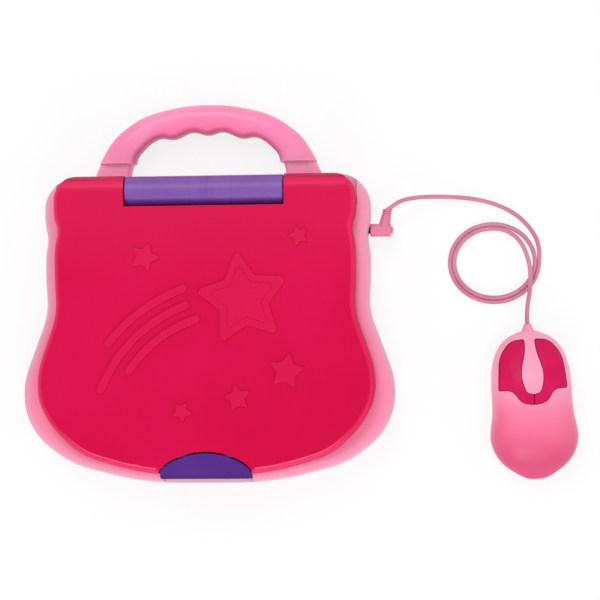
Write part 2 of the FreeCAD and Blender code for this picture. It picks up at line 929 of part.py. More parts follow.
def arc_band(radius, angle_start, angle_end):
    # One stripe of the star's trail, with round ends
    def at(distance, angle):
        turn = math.radians(angle)
        return vec(trail_x + distance * math.cos(turn), trail_y + distance * math.sin(turn))
    half = trail_width / 2.0
    end_turn = math.degrees(half / radius)
    middle = (angle_start + angle_end) / 2.0
    edges = [
        Part.Arc(at(radius + half, angle_start), at(radius + half, middle), at(radius + half, angle_end)),
        Part.Arc(at(radius + half, angle_end), at(radius, angle_end + end_turn),
                 at(radius - half, angle_end)),
        Part.Arc(at(radius - half, angle_end), at(radius - half, middle), at(radius - half, angle_start)),
        Part.Arc(at(radius - half, angle_start), at(radius, angle_start - end_turn),
                 at(radius + half, angle_start)),
    ]
    wire = Part.Wire([edge.toShape() for edge in edges])
    return slab(wire, lid_roof, lid_top + relief_height)


def lid_relief():
    # Shooting star: a large star with an inner step, its striped trail and small stars
    large = star(24.0, 18.0, 31.0, 98.0)
    inner = star(24.0, 18.0, 21.0, 98.0)
    inner.translate(vec(0, 0, relief_height * 0.7))
    shapes = [large]
    shapes += [star(x, y, reach, turn) for x, y, reach, turn in (
        (-36.0, 44.0, 10.0, 70.0), (50.0, -26.0, 12.0, 80.0), (20.0, -42.0, 9.0, 100.0),
        (-14.0, -50.0, 7.0, 60.0), (58.0, 56.0, 7.0, 110.0))]
    shapes += [arc_band(radius, start, end) for radius, start, end in (
        (80.0, 108.0, 146.0), (90.0, 110.0, 158.0), (100.0, 109.0, 142.0))]
    raised = []
    top = lid_top + relief_height
    for shape in shapes:
        raised.append(shape.makeFillet(relief_height * 0.6, edges_at(shape, top)))
    inner_top = top + relief_height * 0.7
    raised.append(inner.makeFillet(relief_height * 0.5, edges_at(inner, inner_top)))
    return raised


def latch_rim():
    # Bevel round the top of the latch's pocket
    low = inset(latch_wire, -latch_room)
    low.translate(vec(0, 0, lid_top - latch_flare))
    high = inset(latch_wire, -latch_room - latch_flare)
    high.translate(vec(0, 0, lid_top))
    return Part.makeLoft([low, high], True, True)


def lid_cover():
    outer = rounded_slab(lid_wire, lid_bottom, lid_top, lid_round, lid_top)
    outer = outer.common(behind_axis(knuckle_radius))
    inner_round = lid_round - lid_wall / 2.0
    cavity = rounded_slab(inset(lid_wire, lid_wall), lid_bottom - over, lid_roof, inner_round, lid_roof)
    cavity = cavity.common(behind_axis(knuckle_radius - lid_wall))
    wall_half = lid_notch_x + bearing_width
    notch_wall = box(-wall_half, wall_half, notch_front - lid_wall, beyond, 0.0, above_all)
    latch_wall = slab(inset(latch_wire, -latch_room - lid_wall), 0.0, above_all)
    rib = box(hinge_pin_reach - bearing_width, hinge_pin_reach, hinge_y - knuckle_radius,
              beyond, 0.0, above_all)
    cavity = cut_all(cavity, [notch_wall, latch_wall] + both_sides(rib))
    shell = outer.cut(cavity)
    knuckles = both_sides(rod_x(bearing_radius, lid_notch_x, wall_half, hinge_y, hinge_z))
    knuckles += both_sides(rod_x(bearing_radius, hinge_pin_reach - bearing_width, hinge_pin_reach,
                                 hinge_y, hinge_z))
    posts = [rod_z(lid_post_radius, bezel_top, lid_roof + boss_bite, x, y) for x, y in lid_screw_places()]
    shell = fuse_all([shell] + knuckles + posts + lid_relief())
    cuts = [box(-lid_notch_x, lid_notch_x, notch_front, beyond, 0.0, above_all)]
    cuts.append(slab(inset(latch_wire, -latch_room), 0.0, above_all))
    cuts.append(latch_rim())
    cuts.append(rod_x(hinge_pin_radius + running_gap, -hinge_pin_reach - over, hinge_pin_reach + over,
                      hinge_y, hinge_z))
    cuts.append(rod_x(latch_pin_radius + running_gap, -latch_pin_half - running_gap,
                      latch_pin_half + running_gap, latch_pin_y, latch_pin_z))
    for x, y in lid_screw_places():
        cuts.append(screw_hole(x, y, 0.0, lid_screw_z, lid_screw_length))
    return cut_all(shell, cuts)


def lid_bezel():
    plate = slab(inset(lid_wire, lid_wall + part_gap), lid_bottom, bezel_top)
    plate = plate.common(box(-beyond, beyond, -beyond, bezel_back, 0.0, above_all))
    cuts = [slab(inset(latch_wire, -latch_room - lid_wall - part_gap), 0.0, above_all)]
    cuts.append(rounded_box(0.0, window_y, window_width, window_height, window_corner, 0.0, above_all))
    for x, y in lid_screw_places():
        cuts.append(screw_hole(x, y, 0.0, lid_screw_z, lid_screw_length))
    return cut_all(plate, cuts)


def display_window():
    gap = 2.0 * seat_gap
    return rounded_box(0.0, window_y, window_width - gap, window_height - gap, window_corner - seat_gap,
                       lid_bottom + 0.5, bezel_top)


def display_panel():
    width = window_width + 2.0 * panel_margin
    height = window_height + 2.0 * panel_margin
    return rounded_box(0.0, window_y, width, height, 1.0, bezel_top, bezel_top + panel_thickness)


def display_board():
    bottom = bezel_top + panel_thickness
    return rounded_box(0.0, window_y, window_width, display_board_height, 1.0, bottom,
                       bottom + board_thickness)


def front_latch():
    plate = rounded_slab(latch_wire, latch_bottom, latch_top, latch_round, latch_top)
    lip = rounded_box(0.0, latch_front + lip_thickness / 2.0, 2.0 * lip_half, lip_thickness, 0.8,
                      lip_bottom, latch_bottom + boss_bite)
    lip = lip.makeFillet(0.7, edges_at(lip, lip_bottom))
    bore = rod_x(latch_pin_radius + running_gap, -latch_half, latch_half, latch_pin_y, latch_pin_z)
    return plate.fuse(lip).removeSplitter().cut(bore)


def latch_pin():
    return rod_x(latch_pin_radius, -latch_pin_half, latch_pin_half, latch_pin_y, latch_pin_z)


# Mouse
def crown_wire(y, half, crown, floor):
    # Rounded arch over a flat floor: a super-ellipse from side to side
    points = []
    steps = 12
    for step in range(steps + 1):
        angle = math.pi * step / steps
        across = math.cos(angle)
        x = half * math.copysign(abs(across) ** crown_power, across)
        z = floor + (crown - floor) * math.sin(angle) ** crown_power
        points.append(vec(x, y, z))
    curve = Part.BSplineCurve()
    curve.interpolate(points)
    return Part.Wire([curve.toShape(), Part.LineSegment(points[-1], points[0]).toShape()])


def side_wire(y, half, bottom, top):
    tuck = 1.6
    rise = 3.0
    points = [vec(-half + tuck, y, bottom), vec(half - tuck, y, bottom), vec(half, y, bottom + rise),
              vec(half, y, top), vec(-half, y, top), vec(-half, y, bottom + rise)]
    return Part.makePolygon(points + points[:1])


def mouse_crown(wall, floor):
    shrink = (mouse_nose - wall) / mouse_nose
    wires = []
    for y, half, crown in mouse_stations:
        wires.append(crown_wire(y * shrink, half - wall, max(crown - wall, floor + 0.8), floor))
    return Part.makeLoft(wires, True, False)


def mouse_sides(wall, bottom, top):
    shrink = (mouse_nose - wall) / mouse_nose
    wires = [side_wire(y * shrink, half - wall, bottom, top) for y, half, crown in mouse_stations]
    return Part.makeLoft(wires, True, False)


def button_outline():
    # Right button: round outer corner, stepped back edge, hollow side round the teardrop strip
    corners = [
        (3.3, 40.3, 1.0),
        (11.8, 39.5, None),
        (18.9, 30.2, None),
        (20.0, 18.0, None),
        (20.5, 10.2, 0.8),
        (12.6, 10.4, None),
        (7.5, 2.4, None),
        (mouse_split_half, 1.2, 0.4),
        (mouse_split_half, 7.0, 0.3),
        (4.3, 7.8, None),
        (6.8, 15.0, None),
        (6.8, 22.2, None),
        (3.7, 32.8, None),
    ]
    return rounded_wire(corners, 0.0)


def mouse_pieces():
    pieces = {}
    outer = mouse_crown(0.0, mouse_split_z)
    inner = mouse_crown(mouse_wall, mouse_split_z - 0.8)
    shell = outer.cut(inner)
    outline = button_outline()
    button = shell.common(slab(outline, 0.0, above_all))
    stem = rod_z(board_rest_radius, switch_top + mouse_button_travel + part_gap, above_all, mouse_switch_x,
                 mouse_switch_y)
    button = button.fuse(stem.common(outer)).removeSplitter()
    right_room = slab(inset(outline, -key_gap), 0.0, above_all)
    posts = []
    for y in mouse_screw_y:
        post = rod_z(mouse_post_radius, mouse_split_z, above_all, 0.0, y).common(outer)
        posts.append(post)
    holes = [screw_hole(0.0, y, -over, mouse_screw_z, mouse_screw_length) for y in mouse_screw_y]
    top = cut_all(shell, both_sides(right_room))
    top = cut_all(fuse_all([top] + posts), holes)
    body = mouse_sides(0.0, mouse_floor_z, mouse_split_z)
    hollow = mouse_sides(mouse_wall, mouse_floor_z + mouse_wall, mouse_split_z + over)
    bottom_posts = [rod_z(mouse_post_radius, mouse_floor_z + over, mouse_split_z, 0.0, y)
                    for y in mouse_screw_y]
    for x in (-board_rest_x, board_rest_x):
        for y in (-board_rest_y, board_rest_y):
            bottom_posts.append(rod_z(board_rest_radius, mouse_floor_z + over, mouse_board_z, x, y))
    bottom = cut_all(fuse_all([body.cut(hollow)] + bottom_posts), holes)
    board_half = board_rest_x + board_edge
    board_reach = board_rest_y + board_edge
    pieces["mouse_top"] = [top]
    pieces["mouse_base"] = [bottom]
    pieces["mouse_right_button"] = [button]
    pieces["mouse_left_button"] = [button.mirror(vec(0, 0, 0), vec(1, 0, 0))]
    pieces["mouse_circuit_board"] = [box(-board_half, board_half, -board_reach, board_reach, mouse_board_z,
                                         mouse_board_z + board_thickness)]
    switch = box(mouse_switch_x - 3.0, mouse_switch_x + 3.0, mouse_switch_y - 3.0, mouse_switch_y + 3.0,
                 mouse_board_z + board_thickness, switch_top)
    pieces["mouse_switches"] = both_sides(switch)
    pieces["mouse_screws"] = [screw(0.0, y, mouse_screw_z, mouse_screw_length) for y in mouse_screw_y]
    pieces["mouse_glide_pads"] = [rounded_box(0.0, y, pad_width, pad_depth, 2.0, 0.0, pad_thickness)
                                  for y in (-pad_y, pad_y)]
    pieces["mouse_cord_grommet"] = [Part.makeCone(grommet_radius, cord_radius + 0.9, grommet_length,
                                                  vec(0, mouse_nose, grommet_z), vec(0, 1, 0))]
    return pieces


# Cord, from the plug to the mouse
def bend(start, corner, end):
    # Arc from start to end that is tangent to both runs meeting at the corner
    chord = end - start
    middle = start + chord * 0.5
    rise = corner - middle
    turn = (corner - start).getAngle(end - corner)
    rise.normalize()
    return Part.Arc(start, middle + rise * (chord.Length / 2.0 * math.tan(turn / 4.0)), end)


def rounded_route(points, name):
    edges = []
    radii = []
    here = points[0]
    for index in range(1, len(points) - 1):
        before = points[index] - points[index - 1]
        after = points[index + 1] - points[index]
        cut_back = 0.45 * min(before.Length, after.Length)
        turn = before.getAngle(after)
        radii.append(round(cut_back / math.tan(turn / 2.0), 1))
        before.normalize()
        after.normalize()
        start = points[index] - before * cut_back
        end = points[index] + after * cut_back
        edges.append(Part.LineSegment(here, start).toShape())
        edges.append(bend(start, points[index], end).toShape())
        here = end
    edges.append(Part.LineSegment(here, points[-1]).toShape())
    print(name, "radii", radii)
    return Part.Wire(edges)


def tube(path, name):
    edge = path.Edges[0]
    start = edge.valueAt(edge.FirstParameter)
    direction = edge.tangentAt(edge.FirstParameter)
    ring = Part.Wire([Part.makeCircle(cord_radius, start, direction)])
    solid = path.makePipeShell([ring], True, False)
    print(name, "length", round(path.Length, 1), "volume ratio",
          round(solid.Volume / (math.pi * cord_radius ** 2 * path.Length), 4))
    return solid


def coil_shrink(turn):
    # The spiral draws in a little faster towards its inner end
    return coil_pitch * turn + coil_draw * turn ** 2


def coil_point(turn):
    angle = 2.0 * math.pi * turn
    x = coil_x + (coil_half_x - coil_shrink(turn)) * math.cos(angle)
    y = coil_y - (coil_half_y - coil_shrink(turn)) * math.sin(angle)
    return vec(x, y, cord_floor)


def coil_direction(turn):
    angle = 2.0 * math.pi * turn
    across = coil_half_x - coil_shrink(turn)
    along = coil_half_y - coil_shrink(turn)
    inward = (coil_pitch + 2.0 * coil_draw * turn) / (2.0 * math.pi)
    direction = vec(-inward * math.cos(angle) - across * math.sin(angle),
                    inward * math.sin(angle) - along * math.cos(angle))
    direction.normalize()
    return direction


def biarc(start, start_direction, end, end_direction):
    span = end - start
    both = start_direction + end_direction
    spread = 2.0 * (1.0 - start_direction.dot(end_direction))
    reach = (-span.dot(both) + math.sqrt(span.dot(both) ** 2 + spread * span.dot(span))) / spread
    first_corner = start + start_direction * reach
    second_corner = end - end_direction * reach
    joint = (first_corner + second_corner) * 0.5
    return [bend(start, first_corner, joint).toShape(), bend(joint, second_corner, end).toShape()]


def coil_path():
    steps = round(coil_turns * 4)
    start = coil_point(0.0)
    edges = [Part.LineSegment(coil_start(), start).toShape()]
    for step in range(steps):
        turn = coil_turns * step / steps
        next_turn = coil_turns * (step + 1) / steps
        edges += biarc(coil_point(turn), coil_direction(turn),
                       coil_point(next_turn), coil_direction(next_turn))
    edges.append(Part.LineSegment(coil_point(coil_turns), coil_end()).toShape())
    return Part.Wire(edges)


def coil_start():
    return coil_point(0.0) - coil_direction(0.0) * (2.0 * cord_radius)


def coil_end():
    return coil_point(coil_turns) + coil_direction(coil_turns) * (2.0 * cord_radius)


def print_least_gap(path):
    points = path.discretize(Number=360)
    step = path.Length / 359.0
    apart = int(15.0 / step)
    least = min(points[a].distanceToPoint(points[b])
                for a in range(len(points)) for b in range(a + apart, len(points)))
    print("coil least gap to itself", round(least - 2.0 * cord_radius, 2))


def lead_points():
    last_corner = coil_start() - coil_direction(0.0) * 6.0
    return [plug_tip, plug_tip + nozzle_run * 2.0, vec(128.4, 80.2, 10.2), vec(141.5, 80.9, 6.2),
            vec(156.0, 80.5, 2.8), vec(169.5, 78.8, cord_floor), vec(183.0, 74.4, cord_floor),
            vec(194.2, 67.4, cord_floor), vec(202.6, 57.2, cord_floor), last_corner, coil_start()]


def tail_points():
    first_corner = coil_end() + coil_direction(coil_turns) * 4.0
    tip = mouse_place.multVec(vec(0, mouse_nose + grommet_length, grommet_z))
    before_tip = mouse_place.multVec(vec(0, mouse_nose + grommet_length + 8.0, grommet_z))
    return [coil_end(), first_corner, vec(189.4, 57.0, 1.5), vec(194.6, 51.2, 2.4), vec(197.6, 43.6, 5.0),
            vec(199.3, 35.0, 7.6), vec(199.2, 23.0, 7.9), before_tip, tip]


def plug_housing():
    body = rod_x(plug_radius, plug_x, plug_x + plug_length, jack_y, seam_z)
    body = body.makeFillet(0.8, [body.Edges[0], body.Edges[2]])
    nub = rod_x(plug_nub_radius, plug_x + plug_length - over, plug_x + plug_length + plug_nub_length,
                jack_y, seam_z)
    nub = nub.makeFillet(0.8, [nub.Edges[0]])
    # Bent arm: a taper, then ribs parted by narrow grooves up to its flat end
    along = vec(arm_run.x, arm_run.y)
    along.normalize()
    here = arm_run.Length - 2.0 * (arm_rib + arm_groove)
    shapes = [body, nub, Part.makeCone(arm_root_radius, arm_tip_radius, here, arm_root, along)]
    for rib in range(2):
        neck = arm_tip_radius - groove_depth
        shapes.append(Part.makeCylinder(neck, arm_groove, arm_root + along * here, along))
        here += arm_groove
        shapes.append(Part.makeCylinder(arm_tip_radius, arm_rib, arm_root + along * here, along))
        here += arm_rib
    shapes.append(Part.makeCone(nozzle_radius, cord_radius + 0.3, nozzle_run.Length, nozzle_root, nozzle_run))
    return fuse_all(shapes)


def plug_pin():
    pin = rod_x(pin_radius, plug_x - pin_length, plug_x, jack_y, seam_z)
    return pin.makeFillet(0.5, pin.Edges[2:3])


def main():
    os.makedirs("parts", exist_ok=True)
    save("base_tub", base_tub())
    save("keyboard_deck", keyboard_deck())
    save("carry_handle", carry_handle())
    save("hinge_barrel_cover", hinge_barrel_cover())
    save_group("hinge_pins", hinge_pins())
    save("main_circuit_board", main_circuit_board())
    save("rubber_dome_mat", rubber_dome_mat())
    save("speaker", speaker())
    save_group("battery_cells", battery_cells())
    save_group("battery_contacts", battery_contacts())
    save("battery_door", battery_door())
    save("battery_door_screw", screw(door_screw_x, cell_y, door_screw_z, door_screw_length))
    save_group("case_screws", [screw(x, y, screw_seat_z, case_screw_length)
                               for x, y in case_screw_places()])
    save("power_switch_body", power_switch_body())
    save("power_switch_knob", power_switch_knob())
    save("mouse_jack", mouse_jack())
    for name, caps in key_places():
        save(name, key_piece(caps))
    for name, x in activity_places():
        save(name, activity_piece(x))
    save("lid_cover", lid_cover())
    save("lid_bezel", lid_bezel())
    save("display_window", display_window())
    save("display_panel", display_panel())
    save("display_board", display_board())
    save_group("lid_screws", [screw(x, y, lid_screw_z, lid_screw_length) for x, y in lid_screw_places()])
    save("front_latch", front_latch())
    save("latch_pin", latch_pin())
    for name, shapes in mouse_pieces().items():
        placed = Part.makeCompound(shapes) if len(shapes) > 1 else shapes[0]
        placed.Placement = mouse_place.multiply(placed.Placement)
        save(name, placed)
    save("plug_housing", plug_housing())
    save("plug_pin", plug_pin())
    save("mouse_cord_lead", tube(rounded_route(lead_points(), "mouse_cord_lead"), "mouse_cord_lead"))
    coil = coil_path()
    print_least_gap(coil)
    save("mouse_cord_coil", tube(coil, "mouse_cord_coil"))
    save("mouse_cord_tail", tube(rounded_route(tail_points(), "mouse_cord_tail"), "mouse_cord_tail"))


main()
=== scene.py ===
import bmesh
import bpy
import json
import math
from mathutils import Matrix, Vector


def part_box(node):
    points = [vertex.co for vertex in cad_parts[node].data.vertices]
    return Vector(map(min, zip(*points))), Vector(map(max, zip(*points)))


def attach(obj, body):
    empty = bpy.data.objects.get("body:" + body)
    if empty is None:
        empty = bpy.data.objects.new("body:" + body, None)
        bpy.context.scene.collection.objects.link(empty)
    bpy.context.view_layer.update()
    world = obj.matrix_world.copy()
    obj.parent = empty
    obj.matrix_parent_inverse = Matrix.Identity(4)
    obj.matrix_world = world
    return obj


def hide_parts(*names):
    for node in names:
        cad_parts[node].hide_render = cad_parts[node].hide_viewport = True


# Toy laptop with a carry handle, closed, and its mouse on a looped cord.
# Metres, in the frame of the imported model: +X right, +Y towards the handle, +Z up.

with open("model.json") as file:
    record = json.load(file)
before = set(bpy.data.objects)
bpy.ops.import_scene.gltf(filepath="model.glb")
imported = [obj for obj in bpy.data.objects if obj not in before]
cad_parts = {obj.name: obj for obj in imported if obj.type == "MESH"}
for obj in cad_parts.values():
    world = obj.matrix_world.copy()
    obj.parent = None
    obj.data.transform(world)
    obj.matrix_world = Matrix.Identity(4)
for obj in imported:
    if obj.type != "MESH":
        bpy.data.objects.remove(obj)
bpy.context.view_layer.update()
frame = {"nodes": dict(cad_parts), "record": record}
nodes = frame["nodes"]
mm = 0.001
print("frame loaded:", len(nodes), "nodes")


def colour(red, green, blue):
    # screen values, 0 to 255, as Blender's linear colour
    levels = [value / 255 for value in (red, green, blue)]
    linear = [v / 12.92 if v <= 0.04045 else ((v + 0.055) / 1.055) ** 2.4 for v in levels]
    return (*linear, 1.0)


class Tap:
    # a shader socket that adds Math nodes when it is used in a sum
    def __init__(self, finish, socket):
        self.finish = finish
        self.socket = socket

    def maths(self, operation, first, second):
        return self.finish.node("ShaderNodeMath", {"operation": operation}, {0: first, 1: second})

    def __add__(self, other):
        return self.maths("ADD", self, other)

    def __sub__(self, other):
        return self.maths("SUBTRACT", self, other)

    def __rsub__(self, other):
        return self.maths("SUBTRACT", other, self)

    def __mul__(self, other):
        return self.maths("MULTIPLY", self, other)

    def __mod__(self, other):
        return self.maths("FLOORED_MODULO", self, other)

    def __abs__(self):
        return self.maths("ABSOLUTE", self, 0.0)

    __radd__ = __add__
    __rmul__ = __mul__


class Finish:
    # one material, and the nodes that make it
    def __init__(self, name, tree=None):
        if tree is None:
            self.material = bpy.data.materials.new(name)
            self.material.use_nodes = True
            tree = self.material.node_tree
        self.tree = tree
        self.tree.nodes.clear()

    def node(self, kind, settings=None, sockets=None, out=0):
        made = self.tree.nodes.new(kind)
        for name, value in (settings or {}).items():
            setattr(made, name, value)
        for name, value in (sockets or {}).items():
            if isinstance(value, Tap):
                self.tree.links.new(value.socket, made.inputs[name])
            else:
                made.inputs[name].default_value = value
        return Tap(self, made.outputs[out]) if made.outputs else None

    def place(self):
        return self.node("ShaderNodeTexCoord", out="Object")

    def split(self, vector):
        first = self.node("ShaderNodeSeparateXYZ", None, {0: vector})
        return [Tap(self, socket) for socket in first.socket.node.outputs]

    def stretch(self, vector, scale):
        return self.node("ShaderNodeVectorMath", {"operation": "MULTIPLY"}, {0: vector, 1: scale})

    def noise(self, vector, scale, detail=2.0, rough=0.5):
        return self.node("ShaderNodeTexNoise", {"noise_dimensions": "3D"},
                         {"Vector": vector, "Scale": scale, "Detail": detail, "Roughness": rough})

    def cells(self, vector, scale):
        return self.node("ShaderNodeTexVoronoi", {"feature": "F1"},
                         {"Vector": vector, "Scale": scale})

    def fade(self, value, low, high):
        # 0 below low, 1 above high, smooth between
        return self.node("ShaderNodeMapRange", {"interpolation_type": "SMOOTHSTEP"},
                         {0: value, 1: low, 2: high, 3: 0.0, 4: 1.0})

    def band(self, value, middle, half, soft):
        # 1 within half of the middle, 0 further out
        return 1 - self.fade(abs(value - middle), half - soft, half + soft)

    def mix(self, factor, first, second):
        return self.node("ShaderNodeMix", {"data_type": "RGBA"},
                         {0: factor, 6: first, 7: second}, 2)

    def bump(self, height, distance):
        return self.node("ShaderNodeBump", None,
                         {"Height": height, "Distance": distance, "Strength": 1.0})

    def surface(self, sockets):
        shader = self.node("ShaderNodeBsdfPrincipled", None, sockets)
        self.node("ShaderNodeOutputMaterial", None, {"Surface": shader})
        return self.material


# Finishes

plasticSet = dict(driftSpan=(0.3, 0.7), scuffStretch=(1.0, 0.25, 1.0), wornSpan=(0.58, 0.72),
                  grainRough=0.07, wornRough=0.1)


def mouldedPlastic(name, look, shade=None):
    # shared by the moulded shells: slow colour drift, fine grain, faint scuffs
    finish = Finish(name)
    place = finish.place()
    drift = finish.fade(finish.noise(place, look["drift"], 3), *plasticSet["driftSpan"])
    base = finish.mix(drift, look["body"], look["deep"])
    if shade:
        base = shade(finish, place, base)
    grain = finish.noise(place, look["grain"], 2)
    scuff = finish.noise(finish.stretch(place, plasticSet["scuffStretch"]), look["scuff"], 4, 0.6)
    worn = finish.fade(scuff, *plasticSet["wornSpan"])
    rough = look["rough"] + plasticSet["grainRough"] * grain + plasticSet["wornRough"] * worn
    normal = finish.bump(grain, look["relief"])
    return finish.surface({"Base Color": base, "Roughness": rough, "Normal": normal,
                           "Specular IOR Level": look["specular"]})


# In the looks, names that end in X, Y or Z hold a span along that axis, from no change to full
# change, and a line has its place, half its width and its softness.

def caseFinish():
    look = dict(body=colour(248, 150, 180), deep=colour(244, 143, 173), edge=colour(236, 172, 194),
                inner=colour(255, 120, 164), groove=colour(186, 84, 118),
                ledge=colour(255, 212, 230),
                drift=14, grain=1400, scuff=60, relief=0.00003, rough=0.3, specular=0.3,
                shoulderZ=(0.0140, 0.0200), crestZ=(0.0220, 0.0254), rimZ=(0.0249, 0.0259),
                waistY=(-0.015, 0.020), seamLine=(0.013, 0.00018, 0.00008),
                ledgeLine=(0.018, 0.0003, 0.0001), notchLine=(0.0, 0.0277, 0.0001),
                ledgeY=(-0.0890, -0.0880))

    def shade(finish, place, base):
        x, y, z = finish.split(place)
        # painted sheen: paler where the shoulder rolls over; painted reflection of the lid:
        # stronger pink beside it; a dark line at the seam
        shoulder = finish.fade(z, *look["shoulderZ"]) - finish.fade(z, *look["crestZ"])
        base = finish.mix(0.75 * shoulder, base, look["edge"])
        # painted reflection: the rim beside the lid is a stronger pink, as if the lid's colour
        # shone onto it
        bulge = 1 - finish.fade(y, *look["waistY"])
        base = finish.mix(0.4 * bulge * finish.fade(z, *look["rimZ"]), base, look["inner"])
        # painted light: the ledge in front of the latch is paler, lifting the shade the latch casts
        # on it
        ledge = finish.band(z, *look["ledgeLine"]) * finish.band(x, *look["notchLine"])
        ledge = ledge * (1 - finish.fade(y, *look["ledgeY"]))
        base = finish.mix(ledge, base, look["ledge"])
        return finish.mix(0.55 * finish.band(z, *look["seamLine"]), base, look["groove"])

    return mouldedPlastic("caseFinish", look, shade)


def handleFinish():
    look = dict(body=colour(255, 145, 187), deep=colour(252, 134, 178),
                rubbed=colour(255, 162, 197), foot=colour(255, 158, 194),
                inner=colour(255, 108, 162), under=colour(200, 58, 110),
                lip=colour(255, 205, 222), groove=colour(214, 92, 140),
                drift=18, grain=1500, scuff=80, relief=0.00003, rough=0.28, specular=0.4,
                rubScale=45, rubSpan=(0.5, 0.75),
                gripY=(0.1030, 0.1045), crownY=(0.110, 0.126), underZ=(0.0125, 0.0180),
                lipLine=(0.1034, 0.0006, 0.0004), partingLine=(0.0095, 0.00016, 0.00008),
                # half the width of the arch, where its feet end and how far it rises from there
                archHalf=0.0717, archFoot=0.087, archRise=0.053,
                # spans across the arch, where 1 is its outside
                gripAcross=(0.45, 0.95), fingersAcross=(0.62, 0.78))

    def shade(finish, place, base):
        x, y, z = finish.split(place)
        grip = finish.fade(y, *look["gripY"])
        rubbed = finish.fade(finish.noise(place, look["rubScale"], 3), *look["rubSpan"])
        base = finish.mix(0.5 * rubbed, base, look["rubbed"])
        # painted light: the feet are paler, lifting the shade of the grip and lid above them
        base = finish.mix(0.9 - 0.9 * grip, base, look["foot"])
        # painted shade: the pink deepens across the grip, most of all on the finger side
        wide = x * (1 / look["archHalf"])
        tall = (y - look["archFoot"]) * (1 / look["archRise"])
        across = wide * wide + tall * tall
        crown = finish.fade(y, *look["crownY"])
        paintedGripShade = crown * (1 - finish.fade(across, *look["gripAcross"]))
        base = finish.mix(0.7 * paintedGripShade, base, look["inner"])
        # painted shade: dark on the low finger-side wall of the grip
        fingers = grip * (1 - finish.fade(across, *look["fingersAcross"]))
        base = finish.mix(fingers * (1 - finish.fade(z, *look["underZ"])), base, look["under"])
        # painted light: a pale line at the step where the grip meets the feet, in place of its
        # shadow
        base = finish.mix(0.4 * finish.band(y, *look["lipLine"]), base, look["lip"])
        return finish.mix(0.5 * finish.band(z, *look["partingLine"]), base, look["groove"])

    return mouldedPlastic("handleFinish", look, shade)


def lidFinish():
    look = dict(body=colour(215, 6, 74), deep=colour(206, 0, 66), rubbed=colour(228, 36, 92),
                edge=colour(250, 52, 112), paintedHighlight=colour(255, 160, 188), low=colour(150, 0, 54),
                drift=10, grain=1700, scuff=50, relief=0.00002, rough=0.3, specular=0.1,
                figureZ=(0.0381, 0.0390), backY=(0.020, 0.075), frontY=(-0.078, -0.058),
                pocketX=(0.0298, 0.0304), edgeZ=(0.0372, 0.0376), paintedShadowZ=(0.0345, 0.0362),
                paintedHighlightLine=(0.03755, 0.00007, 0.00004))

    def shade(finish, place, base):
        x, y, z = finish.split(place)
        # raised figures are rubbed paler; painted light makes the rounded edge brighter, a painted
        # highlight runs along it at the front, and painted shadow darkens its foot
        base = finish.mix(0.3 * finish.fade(z, *look["figureZ"]), base, look["rubbed"])
        # painted light: the back of the lid is lighter, mixed towards the rubbed tone
        base = finish.mix(0.35 * finish.fade(y, *look["backY"]), base, look["rubbed"])
        front = (1 - finish.fade(y, *look["frontY"])) * finish.fade(abs(x), *look["pocketX"])
        edge = 1 - finish.fade(z, *look["edgeZ"])
        base = finish.mix((0.45 + 0.4 * front) * edge, base, look["edge"])
        # painted highlight along the top of the lid's front edge
        base = finish.mix(0.4 * front * finish.band(z, *look["paintedHighlightLine"]), base, look["paintedHighlight"])
        # painted shadow: dark crimson at the foot of the lid's edge
        foot = 1 - finish.fade(z, *look["paintedShadowZ"])
        return finish.mix((0.5 + 0.5 * front) * foot, base, look["low"])

    return mouldedPlastic("lidFinish", look, shade)


def barrelFinish():
    look = dict(body=colour(131, 86, 171), deep=colour(121, 76, 159), streak=colour(102, 60, 144),
                front=colour(112, 66, 196),
                drift=26, grain=1600, scuff=90, relief=0.00003, rough=0.34, specular=0.35,
                flowStretch=(1.0, 0.06, 0.06), flowScale=190, flowSpan=(0.5, 0.72),
                frontY=(0.0765, 0.0835))

    def shade(finish, place, base):
        y = finish.split(place)[1]
        # flow streaks from the moulding run round the barrel
        flow = finish.noise(finish.stretch(place, look["flowStretch"]), look["flowScale"], 3, 0.6)
        base = finish.mix(0.55 * finish.fade(flow, *look["flowSpan"]), base, look["streak"])
        # painted shade: darker and bluer along the front of the barrel
        return finish.mix(0.6 - 0.6 * finish.fade(y, *look["frontY"]), base, look["front"])

    return mouldedPlastic("barrelFinish", look, shade)


def latchFinish():
    look = dict(body=colour(86, 42, 137), deep=colour(80, 36, 129), edge=colour(78, 26, 88),
                drift=30, grain=1500, scuff=110, relief=0.00004, rough=0.38, specular=0.15,
                edgeY=(-0.0905, -0.0882))

    def shade(finish, place, base):
        # painted shade: dark along the front
        y = finish.split(place)[1]
        return finish.mix(0.9 - 0.9 * finish.fade(y, *look["edgeY"]), base, look["edge"])

    return mouldedPlastic("latchFinish", look, shade)


def whiteKeyFinish():
    look = dict(body=colour(244, 238, 240), deep=colour(238, 230, 233),
                drift=40, grain=1800, scuff=120, relief=0.00003, rough=0.35, specular=0.4)
    return mouldedPlastic("whiteKeyFinish", look)


def purpleKeyFinish():
    look = dict(body=colour(132, 88, 172), deep=colour(122, 78, 160),
                drift=40, grain=1800, scuff=120, relief=0.00003, rough=0.35, specular=0.35)
    return mouldedPlastic("purpleKeyFinish", look)


def buttonFinish():
    look = dict(body=colour(221, 20, 92), deep=colour(207, 12, 82),
                drift=60, grain=1700, scuff=140, relief=0.00003, rough=0.33, specular=0.12)
    return mouldedPlastic("buttonFinish", look)


